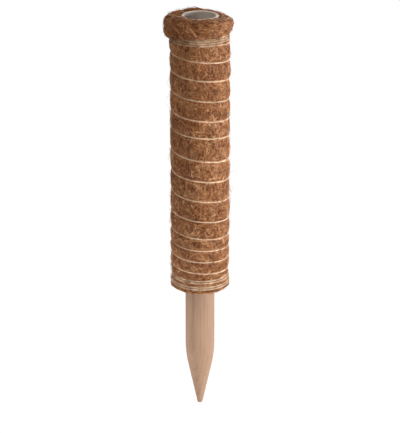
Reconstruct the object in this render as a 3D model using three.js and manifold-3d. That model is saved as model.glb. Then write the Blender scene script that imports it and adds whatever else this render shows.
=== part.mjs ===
// Coir plant pole: a plastic tube wrapped in a coir mat, bound by one length of
// twine, with a pointed wooden stake nailed into the tube's lower end.
// Millimetres, +Z up. The origin lies on the axis at the mat's foot, where the
// soil comes to: the stake goes down into the soil and the mat stands above it.

import * as THREE from "three";
import { mergeVertices } from "three/addons/utils/BufferGeometryUtils.js";
import Module from "manifold-3d";

const wasm = await Module();
wasm.setup();

// Clearance between pieces that fit into or rest on each other
const FIT = 0.3;

// Stake: a turned dowel with a blunt pencil point
const STAKE_DIAMETER = 21.4;
const STAKE_BELOW_MAT = 98;
const STAKE_IN_TUBE = 62;
const STAKE_POINT_HALF_ANGLE = 12;
const STAKE_SHOULDER_RUN = 9;
const STAKE_TIP_RADIUS = 2;
const STAKE_TIP_ROUND = 0.7;
const STAKE_TOP_CHAMFER = 1;

// Core tube: the stake sits in its lower end, and its upper end is an open socket
const TUBE_WALL = 1.9;
const TUBE_FOOT_RECESS = 2;
const TUBE_PROUD_OF_MAT = 1.2;
const TUBE_MOUTH_CHAMFER = 0.5;

// Coir mat: pillowed between the turns of twine, with a free collar at the top
const MAT_LENGTH = 200.8;
const MAT_THICKNESS = 7.8;
const COLLAR_HEIGHT = 9.4;
const COLLAR_FLARE = 3.2;
const COLLAR_LEAN = 0.9;
const COLLAR_CROWN_WIDTH = 3;
const COLLAR_CROWN_DROP = 2;
const COLLAR_LIP_TUCK = 0.8;
const COLLAR_LIP_SWING = 0.5;
const COLLAR_LIP_DROOP = 2.6;
const COLLAR_LIP_EDGE = 0.6;
const COLLAR_HOLLOW = 1;
const FOOT_FRINGE = 1.4;
const FOOT_FRINGE_BULGE = 0.8;
const FOOT_EDGE_TUCK = 2.2;
const FOOT_FLARE = 1.2;
const FOOT_FLARE_HEIGHT = 14;
const PILLOW_RISE_PER_PITCH = 0.17;

// Twine: a close lashing under the collar, an open spiral, a closing spiral and
// two paired turns at the foot, all one length with its ends tucked into the mat
const TWINE_DIAMETER = 1.2;
const TWINE_GAP = 0.42;
const TWINE_SINK = 1.05;
const LASHING_TURNS = 3.6;
const LASHING_FLARE = 0.5;
const LASHING_FLARE_RUN = 4;
const SPIRAL_PITCH = 14.6;
const TURN_SHARES = [0.88, 0.93, 1.03, 1.01, 0.85, 1.22, 1.04, 1.05, 1.06, 0.91];
const CLOSING_TURNS = 3.5;
const CLOSING_PITCH = 8.81;
const UPPER_PAIR_TURNS = 1.5;
const PAIR_STEP_TURNS = 0.5;
const PAIR_STEP_PITCH = 4.6;
const LOWER_PAIR_TURNS = 1.9;
const TAIL_BEND_RADIUS = 2;
const TAIL_LENGTH = 2.4;
const TWINE_START_ANGLE = Math.PI / 2;

// Nails: one from each side, through the tube's wall into the stake
const NAIL_LENGTH = 10;
const NAIL_SHANK_DIAMETER = 1.8;
const NAIL_POINT_LENGTH = 2.4;
const NAIL_HEAD_DIAMETER = 4.6;
const NAIL_HEAD_THICKNESS = 0.8;
const NAIL_HEIGHT = 22;
const NAIL_STAGGER = 14;

// Facets
const STAKE_SIDES = 32;
const TUBE_SIDES = 32;
const NAIL_SIDES = 12;
const CURVE_STEPS = 6;
const TURN_STEPS = 24;
const TWINE_SIDES = 6;
const TAIL_STEPS = 3;

// Sizes that follow from the ones above
const stakeRadius = STAKE_DIAMETER / 2;
const boreRadius = stakeRadius + FIT;
const tubeRadius = boreRadius + TUBE_WALL;
const tubeTop = MAT_LENGTH + TUBE_PROUD_OF_MAT;
const matBore = tubeRadius + FIT;
const crestRadius = matBore + MAT_THICKNESS;
const twineRadius = TWINE_DIAMETER / 2;
const windingRadius = crestRadius - TWINE_SINK;
const seatRadius = windingRadius - twineRadius - FIT;
const twineClear = twineRadius + FIT;
const closePitch = TWINE_DIAMETER + TWINE_GAP;
const windingTop = MAT_LENGTH - COLLAR_HEIGHT - twineRadius;
const lashingFoot = windingTop - LASHING_TURNS * closePitch;

const wood = new THREE.MeshStandardMaterial({ color: 0xd3b090, roughness: 0.6 });
const greyPlastic = new THREE.MeshStandardMaterial({ color: 0xb9b8b9, roughness: 0.45 });
const coir = new THREE.MeshStandardMaterial({ color: 0x8c5a38, roughness: 0.95 });
const paleTwine = new THREE.MeshStandardMaterial({ color: 0xd8c1a2, roughness: 0.7 });
const steel = new THREE.MeshStandardMaterial({ color: 0xa8a8a8, roughness: 0.35, metalness: 1 });

// A closed geometry as a solid that can be cut
function solidOf(geometry) {
  const bare = geometry.clone();
  bare.deleteAttribute("normal");
  bare.deleteAttribute("uv");
  const merged = mergeVertices(bare, 1e-4);
  return new wasm.Manifold(
    new wasm.Mesh({
      numProp: 3,
      vertProperties: new Float32Array(merged.attributes.position.array),
      triVerts: new Uint32Array(merged.index.array),
    }),
  );
}

function geometryOf(solid) {
  const { vertProperties, triVerts } = solid.getMesh();
  const geometry = new THREE.BufferGeometry();
  geometry.setAttribute("position", new THREE.BufferAttribute(vertProperties, 3));
  geometry.setIndex(new THREE.BufferAttribute(triVerts, 1));
  return geometry;
}

function cut(geometry, ...tools) {
  const body = tools.reduce((rest, tool) => rest.subtract(solidOf(tool)), solidOf(geometry));
  return geometryOf(body);
}

// A profile of (radius, height) points, listed upwards along its outside, turned about Z
function turned(points, sides) {
  return new THREE.LatheGeometry(points, sides).rotateX(Math.PI / 2);
}

function stakeProfile() {
  const flare = Math.tan(THREE.MathUtils.degToRad(STAKE_POINT_HALF_ANGLE));
  const tip = -STAKE_BELOW_MAT;
  const coneFoot = tip + STAKE_TIP_ROUND;
  const corner = coneFoot + (stakeRadius - STAKE_TIP_RADIUS) / flare;
  const shoulder = corner + STAKE_SHOULDER_RUN;
  const coneTop = corner - STAKE_SHOULDER_RUN;
  const coneTopRadius = stakeRadius - STAKE_SHOULDER_RUN * flare;
  const outline = new THREE.Path();
  outline.moveTo(0, tip);
  outline.lineTo(STAKE_TIP_RADIUS - STAKE_TIP_ROUND, tip);
  outline.quadraticCurveTo(STAKE_TIP_RADIUS, tip, STAKE_TIP_RADIUS, coneFoot);
  outline.lineTo(coneTopRadius, coneTop);
  outline.quadraticCurveTo(stakeRadius, corner, stakeRadius, shoulder);
  outline.lineTo(stakeRadius, STAKE_IN_TUBE - STAKE_TOP_CHAMFER);
  outline.lineTo(stakeRadius - STAKE_TOP_CHAMFER, STAKE_IN_TUBE);
  outline.lineTo(0, STAKE_IN_TUBE);
  return outline.getPoints(CURVE_STEPS);
}

function tubeProfile() {
  const outline = new THREE.Path();
  outline.moveTo(boreRadius, TUBE_FOOT_RECESS);
  outline.lineTo(tubeRadius, TUBE_FOOT_RECESS);
  outline.lineTo(tubeRadius, tubeTop);
  outline.lineTo(boreRadius + TUBE_MOUTH_CHAMFER, tubeTop);
  outline.lineTo(boreRadius, tubeTop - TUBE_MOUTH_CHAMFER);
  outline.closePath();
  return outline.getPoints();
}

// Nails lie along X with their heads outwards. The shank's hole and the head's
// pocket are the same profile grown by the clearance.
function nailProfile(grow) {
  const shank = NAIL_SHANK_DIAMETER / 2 + grow;
  const head = NAIL_HEAD_DIAMETER / 2 + grow;
  return [
    new THREE.Vector2(0, -NAIL_LENGTH - grow),
    new THREE.Vector2(shank, -NAIL_LENGTH + NAIL_POINT_LENGTH - grow),
    new THREE.Vector2(shank, -grow),
    new THREE.Vector2(head, -grow),
    new THREE.Vector2(head, NAIL_HEAD_THICKNESS + grow),
    new THREE.Vector2(0, NAIL_HEAD_THICKNESS + grow),
  ];
}

function nail(side, grow = 0) {
  const height = NAIL_HEIGHT + (side < 0 ? NAIL_STAGGER : 0);
  return turned(nailProfile(grow), NAIL_SIDES)
    .rotateY(side * Math.PI / 2)
    .translate(side * (tubeRadius + FIT), 0, height);
}

// The open spiral takes as many whole turns as fit its run. It is wound by hand, so
// the turns drop by unequal shares, which repeat where there are more turns.
function spiralTurns(run) {
  const count = Math.max(1, Math.round(run / SPIRAL_PITCH));
  const shares = Array.from({ length: count }, (_, turn) => TURN_SHARES[turn % TURN_SHARES.length]);
  const whole = shares.reduce((sum, share) => sum + share, 0);
  return shares.map((share) => ({ turns: 1, pitch: (run * share) / whole }));
}

// The winding from top to foot, as stretches of so many turns at one pitch
function windingStretches() {
  const foot = FOOT_FRINGE + twineClear;
  const lashing = { turns: LASHING_TURNS, pitch: closePitch };
  const closing = [
    { turns: CLOSING_TURNS, pitch: CLOSING_PITCH },
    { turns: UPPER_PAIR_TURNS, pitch: closePitch },
    { turns: PAIR_STEP_TURNS, pitch: PAIR_STEP_PITCH },
    { turns: LOWER_PAIR_TURNS, pitch: closePitch },
  ];
  const taken = [lashing, ...closing].reduce((sum, s) => sum + s.turns * s.pitch, 0);
  return [lashing, ...spiralTurns(windingTop - foot - taken), ...closing];
}

function windingHeights() {
  const stretches = windingStretches();
  const turns = stretches.reduce((sum, s) => sum + s.turns, 0);
  const heightAt = (turn) => {
    let height = windingTop;
    let left = turn;
    for (const s of stretches) {
      const used = Math.min(left, s.turns);
      height -= used * s.pitch;
      left -= used;
    }
    return height;
  };
  const steps = Math.round(turns * TURN_STEPS);
  return Array.from({ length: steps + 1 }, (_, step) => heightAt(step / TURN_STEPS));
}

const heights = windingHeights();
const lastStep = heights.length - 1;

// The mat is thicker towards its foot and under the lashing, and carries the twine out with it
function flareAt(height) {
  const { smoothstep } = THREE.MathUtils;
  const foot = FOOT_FLARE * (1 - smoothstep(height, 0, FOOT_FLARE_HEIGHT));
  return foot + LASHING_FLARE * smoothstep(height, lashingFoot - LASHING_FLARE_RUN, lashingFoot);
}

function angleAt(step) {
  return TWINE_START_ANGLE + (2 * Math.PI * step) / TURN_STEPS;
}

function onWinding(step, radius, height) {
  const angle = angleAt(step);
  return new THREE.Vector3(radius * Math.cos(angle), radius * Math.sin(angle), height);
}

function twineAt(step) {
  return onWinding(step, windingRadius + flareAt(heights[step]), heights[step]);
}

// A tucked end: a quarter bend off the winding and a straight run towards the axis.
// `way` is -1 at the winding's start and 1 at its end.
function tuckedEnd(step, way) {
  const corner = twineAt(step);
  const out = onWinding(step, 1, 0);
  const along = new THREE.Vector3(-out.y, out.x, 0).multiplyScalar(way);
  const centre = corner.clone().addScaledVector(out, -TAIL_BEND_RADIUS);
  const points = [];
  for (let i = 1; i <= TAIL_STEPS; i++) {
    const turn = (i / TAIL_STEPS) * (Math.PI / 2);
    points.push(
      centre
        .clone()
        .addScaledVector(out, TAIL_BEND_RADIUS * Math.cos(turn))
        .addScaledVector(along, TAIL_BEND_RADIUS * Math.sin(turn)),
    );
  }
  points.push(points[TAIL_STEPS - 1].clone().addScaledVector(out, -TAIL_LENGTH));
  return { corner, out, along, points };
}

// A closed tube round a line of points that never runs straight up
function tubeAlong(points, radius, sides) {
  const up = new THREE.Vector3(0, 0, 1);
  const vertices = [];
  const faces = [];
  points.forEach((point, i) => {
    const before = points[Math.max(0, i - 1)];
    const after = points[Math.min(points.length - 1, i + 1)];
    const ahead = after.clone().sub(before).normalize();
    const rise = up.clone().addScaledVector(ahead, -up.dot(ahead)).normalize();
    const across = new THREE.Vector3().crossVectors(ahead, rise);
    for (let s = 0; s < sides; s++) {
      const turn = (2 * Math.PI * s) / sides;
      const corner = point
        .clone()
        .addScaledVector(rise, radius * Math.cos(turn))
        .addScaledVector(across, radius * Math.sin(turn));
      vertices.push(...corner.toArray());
    }
  });
  for (let i = 0; i + 1 < points.length; i++) {
    for (let s = 0; s < sides; s++) {
      const a = i * sides + s;
      const b = i * sides + ((s + 1) % sides);
      faces.push(a, b, b + sides, a, b + sides, a + sides);
    }
  }
  const last = (points.length - 1) * sides;
  for (let s = 1; s + 1 < sides; s++) {
    faces.push(0, s + 1, s, last, last + s, last + s + 1);
  }
  return indexed(vertices, faces);
}

function indexed(vertices, faces) {
  const geometry = new THREE.BufferGeometry();
  geometry.setAttribute("position", new THREE.Float32BufferAttribute(vertices, 3));
  geometry.setIndex(faces);
  return geometry;
}

const firstTail = tuckedEnd(0, -1);
const lastTail = tuckedEnd(lastStep, 1);

function twinePoints() {
  const winding = heights.map((_, step) => twineAt(step));
  return [...firstTail.points.toReversed(), ...winding, ...lastTail.points];
}

// The hole that a tucked end makes in the mat, from outside the winding to past its tip
function tailHole({ corner, out, along, points }) {
  const mouth = corner.clone().addScaledVector(out, twineClear).addScaledVector(along, -twineClear);
  const tip = points.at(-1).clone().addScaledVector(out, -FIT);
  return tubeAlong([mouth, corner, ...points, tip], twineClear, TWINE_SIDES);
}

// The mat's outside follows the winding as a thread does: one row of points lies under
// the twine, and the rows on the way to the next turn rise into a pillow between the two.
const PILLOW_ROWS = [0.15, 0.5, 0.85];
const PILLOW_FULLNESS = 0.35;

function matGeometry() {
  const vertices = [];
  const faces = [];
  const point = (step, radius, height) => {
    vertices.push(...onWinding(step, radius, height).toArray());
    return vertices.length / 3 - 1;
  };
  const quad = (a, b, c, d) => faces.push(a, d, c, a, c, b);
  const ring = (radius, height) =>
    Array.from({ length: TURN_STEPS }, (_, column) => point(column, radius, height));
  const join = (upper, lower) => {
    for (let c = 0; c < TURN_STEPS; c++) {
      const next = (c + 1) % TURN_STEPS;
      quad(upper[c], upper[next], lower[next], lower[c]);
    }
  };

  // Rows under and between the turns
  const seatAt = (height) => seatRadius + flareAt(height);
  const seats = heights.map((height, step) => point(step, seatAt(height), height));
  const lastOpen = lastStep - TURN_STEPS;
  const columns = [];
  for (let step = 0; step <= lastOpen; step++) {
    const below = heights[step + TURN_STEPS];
    const drop = heights[step] - below;
    const pillow = Math.min(crestRadius - seatRadius, PILLOW_RISE_PER_PITCH * drop);
    const rows = PILLOW_ROWS.map((share) => {
      const swell = pillow * Math.sin(Math.PI * share) ** PILLOW_FULLNESS;
      const height = heights[step] - share * drop;
      return point(step, seatAt(height) + swell, height);
    });
    columns.push([seats[step], ...rows, seats[step + TURN_STEPS]]);
  }
  for (let step = 0; step < lastOpen; step++) {
    const here = columns[step];
    const next = columns[step + 1];
    for (let k = 0; k + 1 < here.length; k++) quad(here[k], next[k], next[k + 1], here[k + 1]);
  }

  // Collar: bore edge, rounded crown, lip, then in under the lip and over the lashing. It is
  // free, and leans to the left, where its lip hangs down outside the lashing.
  const leaning = (place) =>
    Array.from({ length: TURN_STEPS }, (_, column) =>
      point(column, ...place(Math.cos(angleAt(column)))),
    );
  const sideAt = (right) => crestRadius + COLLAR_FLARE - COLLAR_LEAN * right;
  const lipAt = (right) => sideAt(right) - COLLAR_LIP_TUCK - COLLAR_LIP_SWING * right;
  const lipHeight = MAT_LENGTH - COLLAR_HEIGHT + FIT;
  const hangAt = (right) => lipHeight - COLLAR_LIP_DROOP * Math.max(0, -right) ** 1.5;
  const crown = Array.from({ length: CURVE_STEPS + 1 }, (_, i) => {
    const turn = (Math.PI / 2) * (1 - i / CURVE_STEPS);
    const inset = COLLAR_CROWN_WIDTH * (1 - Math.cos(turn));
    const height = MAT_LENGTH - COLLAR_CROWN_DROP * (1 - Math.sin(turn));
    return leaning((right) => [sideAt(right) - inset, height]);
  });
  const boreTop = ring(matBore, MAT_LENGTH);
  const lashingClear = windingRadius + LASHING_FLARE + twineClear;
  const collar = [
    boreTop,
    ...crown,
    leaning((right) => [lipAt(right), hangAt(right)]),
    leaning((right) => [lashingClear, hangAt(right) + COLLAR_LIP_EDGE]),
    ring(lashingClear, lipHeight + COLLAR_HOLLOW),
  ];
  const overTwine = Array.from({ length: TURN_STEPS }, (_, step) =>
    point(step, seatAt(heights[step]), heights[step] + twineClear),
  );
  collar.push(overTwine);
  collar.slice(1).forEach((lower, i) => join(collar[i], lower));
  for (let step = 0; step + 1 < TURN_STEPS; step++) {
    quad(overTwine[step], overTwine[step + 1], seats[step + 1], seats[step]);
  }
  const beforeStart = TURN_STEPS - 1;
  faces.push(overTwine[beforeStart], seats[beforeStart], overTwine[0]);
  faces.push(overTwine[0], seats[beforeStart], seats[0]);
  const startColumn = columns[0];
  for (let k = 0; k + 1 < startColumn.length; k++) {
    faces.push(startColumn[k], seats[beforeStart], startColumn[k + 1]);
  }

  // Foot: out from under the last turn to the fringe, and in to the bore
  const underTwine = new Array(TURN_STEPS);
  for (let step = lastOpen + 1; step <= lastStep; step++) {
    underTwine[step % TURN_STEPS] = point(step, seatAt(heights[step]), heights[step] - twineClear);
  }
  for (let step = lastOpen + 1; step < lastStep; step++) {
    const here = step % TURN_STEPS;
    const next = (step + 1) % TURN_STEPS;
    quad(seats[step], seats[step + 1], underTwine[next], underTwine[here]);
  }
  const endColumn = columns[lastOpen];
  const afterEnd = seats[lastOpen + 1];
  for (let k = 0; k + 1 < endColumn.length; k++) faces.push(endColumn[k], endColumn[k + 1], afterEnd);
  const underLast = underTwine[lastStep % TURN_STEPS];
  const underNext = underTwine[(lastOpen + 1) % TURN_STEPS];
  faces.push(seats[lastStep], underLast, afterEnd);
  faces.push(underLast, underNext, afterEnd);
  const fringe = ring(seatAt(0) + FOOT_FRINGE_BULGE, FOOT_FRINGE / 2);
  const edge = ring(crestRadius + FOOT_FLARE - FOOT_EDGE_TUCK, 0);
  const boreFoot = ring(matBore, 0);
  join(underTwine, fringe);
  join(fringe, edge);
  join(edge, boreFoot);
  join(boreFoot, boreTop);
  return indexed(vertices, faces);
}

// The twine's least clearance to itself, between points at least half a turn apart
function leastGap(points) {
  let least = Infinity;
  for (let i = 0; i < points.length; i++) {
    for (let j = i + TURN_STEPS / 2; j < points.length; j++) {
      least = Math.min(least, points[i].distanceTo(points[j]));
    }
  }
  return least - TWINE_DIAMETER;
}

const pole = new THREE.Group();

function add(name, geometry, material) {
  const mesh = new THREE.Mesh(geometry, material);
  mesh.name = name;
  pole.add(mesh);
}

const nailHoles = [nail(1, FIT), nail(-1, FIT)];
const twineLine = twinePoints();
const tailHoles = [tailHole(firstTail), tailHole(lastTail)];

add("stake", cut(turned(stakeProfile(), STAKE_SIDES), ...nailHoles), wood);
add("core_tube", cut(turned(tubeProfile(), TUBE_SIDES), ...nailHoles), greyPlastic);
add("coir_mat", cut(matGeometry(), ...nailHoles, ...tailHoles), coir);
add("twine", tubeAlong(twineLine, twineRadius, TWINE_SIDES), paleTwine);
add("stake_nail_right", nail(1), steel);
add("stake_nail_left", nail(-1), steel);

const turnCount = (lastStep / TURN_STEPS).toFixed(1);
console.log(`twine: ${turnCount} turns, least gap to itself ${leastGap(twineLine).toFixed(2)} mm`);

export default pole;
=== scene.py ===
"""Coir plant pole: a pointed stake in a plastic tube, wrapped in coir and bound with twine."""

import math

import bpy
import numpy as np
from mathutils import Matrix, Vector, noise


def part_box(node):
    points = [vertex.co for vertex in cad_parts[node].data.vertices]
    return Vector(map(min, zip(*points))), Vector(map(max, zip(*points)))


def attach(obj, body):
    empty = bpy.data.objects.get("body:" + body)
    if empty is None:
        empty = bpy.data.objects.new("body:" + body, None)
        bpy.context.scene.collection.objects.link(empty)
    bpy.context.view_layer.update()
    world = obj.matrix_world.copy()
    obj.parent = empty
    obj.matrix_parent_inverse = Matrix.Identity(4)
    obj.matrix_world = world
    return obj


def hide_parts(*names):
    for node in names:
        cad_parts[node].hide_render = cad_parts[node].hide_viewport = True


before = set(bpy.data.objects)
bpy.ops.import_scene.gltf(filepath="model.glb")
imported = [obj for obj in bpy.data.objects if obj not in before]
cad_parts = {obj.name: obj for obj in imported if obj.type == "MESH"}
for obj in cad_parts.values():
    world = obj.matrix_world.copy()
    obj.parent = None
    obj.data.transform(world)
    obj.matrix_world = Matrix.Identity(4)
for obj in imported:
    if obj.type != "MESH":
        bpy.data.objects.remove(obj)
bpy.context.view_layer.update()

# Helpers
# Lengths are in metres. Node trees are built by wire, which adds a node and connects it, and
# the small functions after it stand for the nodes that are used most.

MM = 0.001
SHARP_ANGLE = math.radians(35)


def srgb(red, green, blue):
    """A colour as it looks on a screen, each part from 0 to 255, in a shader's linear numbers."""

    def linear(value):
        share = value / 255
        return share / 12.92 if share <= 0.04045 else ((share + 0.055) / 1.055) ** 2.4

    return (linear(red), linear(green), linear(blue), 1.0)


def set_inputs(tree, node, inputs):
    """Gives each of these inputs of a node its value, or the output that feeds it."""
    for name, value in inputs.items():
        named = [s for s in node.inputs if s.enabled and s.name == name]
        socket = node.inputs[name] if isinstance(name, int) else named[0]
        if isinstance(value, bpy.types.NodeSocket):
            tree.links.new(value, socket)
        else:
            socket.default_value = value


def wire(tree, kind, inputs=None, **settings):
    """A new node with these settings and inputs."""
    node = tree.nodes.new(kind)
    for name, value in settings.items():
        setattr(node, name, value)
    set_inputs(tree, node, inputs or {})
    return node


def calc(tree, operation, *values):
    """The result of a Math node."""
    return wire(tree, "ShaderNodeMath", dict(enumerate(values)), operation=operation).outputs[0]


def ramp(tree, factor, *stops):
    """The colour that a Color Ramp gives for this factor, from (place, colour) stops."""
    node = wire(tree, "ShaderNodeValToRGB", {"Fac": factor})
    elements = node.color_ramp.elements
    while len(elements) < len(stops):
        elements.new(1.0)
    for element, (place, colour) in zip(elements, stops):
        element.position = place
        element.color = colour
    return node.outputs["Color"]


def cloud(tree, place, scale, **more):
    """The value of a Noise Texture at these places."""
    inputs = {"Vector": place, "Scale": scale} | more
    return wire(tree, "ShaderNodeTexNoise", inputs).outputs["Fac"]


def drawn_out(tree, place, *scale):
    """These places with each axis scaled, so that a texture runs longer where the scale is small."""
    return wire(tree, "ShaderNodeMapping", {"Vector": place, "Scale": scale}).outputs[0]


def bumps(tree, height, strength, distance):
    """The normal that a Bump node gives."""
    inputs = {"Height": height, "Strength": strength, "Distance": distance}
    return wire(tree, "ShaderNodeBump", inputs).outputs["Normal"]


def new_material(name):
    """A new material, with its node tree and its main shader."""
    material = bpy.data.materials.new(name)
    material.use_nodes = True
    return material, material.node_tree, material.node_tree.nodes["Principled BSDF"]


def own_place(tree):
    """The place on the piece itself that a texture starts from."""
    return wire(tree, "ShaderNodeTexCoord").outputs["Object"]


def turned_mesh(name, profile, sides, ring=False):
    """A mesh turned about Z from (radius, height) points that run upwards along its outside."""
    angles = np.arange(sides) * 2 * math.pi / sides
    places = []
    rows = []
    for radius, height in profile:
        start = len(places)
        if radius > 0:
            places.extend((radius * math.cos(a), radius * math.sin(a), height) for a in angles)
            rows.append(range(start, start + sides))
        else:
            places.append((0, 0, height))
            rows.append([start] * sides)
    pairs = list(zip(rows, rows[1:]))
    if ring:
        pairs.append((rows[-1], rows[0]))
    faces = []
    for lower, upper in pairs:
        for i in range(sides):
            j = (i + 1) % sides
            faces.append(list(dict.fromkeys((lower[i], lower[j], upper[j], upper[i]))))
    mesh = bpy.data.meshes.new(name)
    mesh.from_pydata(places, [], faces)
    mesh.shade_smooth()
    mesh.set_sharp_from_angle(angle=SHARP_ANGLE)
    return mesh


def add_piece(name, mesh, material, slot, *replaced):
    """Puts a finished mesh on the pole, in place of these nodes of the frame."""
    piece = bpy.data.objects.new(name, mesh)
    bpy.context.scene.collection.objects.link(piece)
    if not mesh.materials:
        mesh.materials.append(material)
    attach(piece, "root")
    if replaced:
        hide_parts(*replaced)
    return piece


def steps_to(end, count):
    """This many even steps from 0 to end, without the 0."""
    return np.linspace(0, end, count + 1)[1:]


def smooth(value, start, end):
    """A smooth step from 0 at start to 1 at end."""
    share = np.clip((value - start) / (end - start), 0, 1)
    return share * share * (3 - 2 * share)


# Stake
# A softwood dowel turned to a long blunt point, sanded and left bare. Its upper part is
# pushed into the plastic tube and nailed there, and the rest goes into the soil.

STAKE_SIDES = 128
STAKE_TIP_RADIUS = 2.0 * MM
STAKE_TIP_ROUND = 0.7 * MM
STAKE_TIP_STEPS = 6
STAKE_POINT_HALF_ANGLE = math.radians(12)
STAKE_SHOULDER_RUN = 9.0 * MM
STAKE_TOP_CHAMFER = 1.0 * MM
STAKE_CURVE_STEPS = 24
STAKE_PITH = (0.031, 0.046, 0.0)
RING_SPACING = 2.4 * MM
RING_WAVER = 0.004
RING_DRAW = 0.06
STREAK_DRAW = 0.018
STREAK_SHARE = 0.7
WAVE_NODE_FACTOR = 20

stake_low, stake_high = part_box("stake")
stake_radius = stake_high.x


def bend_points(start, corner, end, steps):
    """Points along a bend that leaves start towards corner and reaches end, without its start."""
    start, corner, end = (np.array(point) for point in (start, corner, end))
    shares = np.arange(1, steps + 1) / steps
    return [tuple((1 - t) ** 2 * start + 2 * t * (1 - t) * corner + t**2 * end) for t in shares]


def stake_profile():
    """Half the stake's outline, from the middle of its tip up to the middle of its top."""
    slope = math.tan(STAKE_POINT_HALF_ANGLE)
    tip = stake_low.z
    cone_foot = tip + STAKE_TIP_ROUND
    corner = cone_foot + (stake_radius - STAKE_TIP_RADIUS) / slope
    cone_top = (stake_radius - STAKE_SHOULDER_RUN * slope, corner - STAKE_SHOULDER_RUN)
    shoulder = (stake_radius, corner + STAKE_SHOULDER_RUN)
    flat = (STAKE_TIP_RADIUS - STAKE_TIP_ROUND, tip)
    tip_edge = (STAKE_TIP_RADIUS, cone_foot)
    profile = [(0, tip), flat]
    profile += bend_points(flat, (STAKE_TIP_RADIUS, tip), tip_edge, STAKE_TIP_STEPS)
    cone = zip(
        np.linspace(STAKE_TIP_RADIUS, cone_top[0], STAKE_CURVE_STEPS),
        np.linspace(cone_foot, cone_top[1], STAKE_CURVE_STEPS),
    )
    profile += list(cone)[1:]
    profile += bend_points(cone_top, (stake_radius, corner), shoulder, STAKE_CURVE_STEPS)
    profile.append((stake_radius, stake_high.z - STAKE_TOP_CHAMFER))
    profile.append((stake_radius - STAKE_TOP_CHAMFER, stake_high.z))
    profile.append((0, stake_high.z))
    return profile


def growth_rings(tree, place):
    """Rings about a pith outside the dowel, wavering a little along it."""
    long_grain = drawn_out(tree, place, 1, 1, RING_DRAW)
    waver = wire(tree, "ShaderNodeTexNoise", {"Vector": long_grain, "Scale": 90.0, "Detail": 2.0})
    moved = wire(
        tree,
        "ShaderNodeMix",
        {"Factor": RING_WAVER, "A": long_grain, "B": waver.outputs["Color"]},
        data_type="VECTOR",
    ).outputs[1]
    about_pith = wire(tree, "ShaderNodeMapping", {"Vector": moved, "Location": STAKE_PITH})
    scale = 2 * math.pi / (WAVE_NODE_FACTOR * RING_SPACING)
    return wire(
        tree,
        "ShaderNodeTexWave",
        {"Vector": about_pith.outputs[0], "Scale": scale},
        wave_type="RINGS",
        rings_direction="Z",
        wave_profile="SAW",
    ).outputs["Fac"]


def stake_wood():
    """Pale softwood: growth rings, and fine streaks along the stake."""
    material, tree, shader = new_material("stake_wood")
    place = own_place(tree)
    streak_place = drawn_out(tree, place, 1, 1, STREAK_DRAW)
    streaks = cloud(tree, streak_place, scale=2600.0, Detail=3.0, Roughness=0.6)
    early = ramp(
        tree,
        growth_rings(tree, place),
        (0.0, srgb(177, 146, 124)),
        (0.7, srgb(174, 142, 119)),
        (0.93, srgb(168, 135, 110)),
        (1.0, srgb(175, 145, 123)),
    )
    fine = ramp(tree, streaks, (0.3, srgb(214, 206, 200)), (0.7, srgb(255, 255, 255)))
    colour = wire(
        tree,
        "ShaderNodeMix",
        {"Factor": STREAK_SHARE, "A": early, "B": fine},
        data_type="RGBA",
        blend_type="MULTIPLY",
    )
    look = {
        "Base Color": colour.outputs[2],
        "Roughness": 0.65,
        "Specular IOR Level": 0.3,
        "Normal": bumps(tree, streaks, strength=0.25, distance=0.05 * MM),
    }
    set_inputs(tree, shader, look)
    return material


stake_mesh = turned_mesh("stake_turned", stake_profile(), STAKE_SIDES)
add_piece("stake_turned", stake_mesh, stake_wood(), "wood", "stake")

# Core tube
# A length of thin grey plastic conduit, sawn square. The stake fills its lower end, and
# its open upper end takes the stake of another pole.

TUBE_SIDES = 128
TUBE_WALL = 1.9 * MM
TUBE_EDGE = 0.35 * MM
DIE_LINE_DRAW = 0.02
LIT_RIM_FACING = 0.5

tube_low, tube_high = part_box("core_tube")
tube_radius = tube_high.x
bore_radius = tube_radius - TUBE_WALL


def tube_profile():
    """The section of the tube's wall, with its edges eased, from the lower end of the bore."""
    low = tube_low.z
    high = tube_high.z
    return [
        (bore_radius + TUBE_EDGE, low),
        (tube_radius - TUBE_EDGE, low),
        (tube_radius, low + TUBE_EDGE),
        (tube_radius, high - TUBE_EDGE),
        (tube_radius - TUBE_EDGE, high),
        (bore_radius + TUBE_EDGE, high),
        (bore_radius, high - TUBE_EDGE),
        (bore_radius, low + TUBE_EDGE),
    ]


def conduit_plastic():
    """Grey plastic with faint lines from its die along it, and a paler rim on the faces that look up:
    partly the sawn face, partly a painted highlight of the light from above.
    """
    material, tree, shader = new_material("conduit_plastic")
    place = own_place(tree)
    lines = cloud(tree, drawn_out(tree, place, 1, 1, DIE_LINE_DRAW), scale=900.0, Detail=3.0)
    dust = cloud(tree, place, scale=140.0, Detail=4.0)
    wall = ramp(tree, lines, (0.3, srgb(197, 190, 188)), (0.7, srgb(209, 202, 200)))
    # The paler rim colour is partly a sawn face and partly a painted highlight, where the top faces catch
    # the light.
    sawn_and_lit_rim = ramp(tree, dust, (0.3, srgb(237, 216, 202)), (0.7, srgb(253, 239, 225)))
    normal = wire(tree, "ShaderNodeNewGeometry").outputs["Normal"]
    upward = wire(tree, "ShaderNodeSeparateXYZ", {"Vector": normal}).outputs["Z"]
    rim = calc(tree, "GREATER_THAN", upward, LIT_RIM_FACING)
    colour = wire(tree, "ShaderNodeMix", {"Factor": rim, "A": wall, "B": sawn_and_lit_rim}, data_type="RGBA")
    spread = {"From Min": 0.3, "From Max": 0.7, "To Min": 0.5, "To Max": 0.7}
    rough = wire(tree, "ShaderNodeMapRange", {"Value": dust} | spread)
    set_inputs(tree, shader, {"Base Color": colour.outputs[2], "Roughness": rough.outputs[0]})
    return material


tube_mesh = turned_mesh("tube_sawn", tube_profile(), TUBE_SIDES, ring=True)
add_piece("tube_sawn", tube_mesh, conduit_plastic(), "grey_plastic", "core_tube")

# Nails
# Two bright wire nails, one from each side, driven through the tube's wall into the stake
# before the mat goes on. The mat covers them.

NAIL_SCRATCH_DRAW = 0.05


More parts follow.
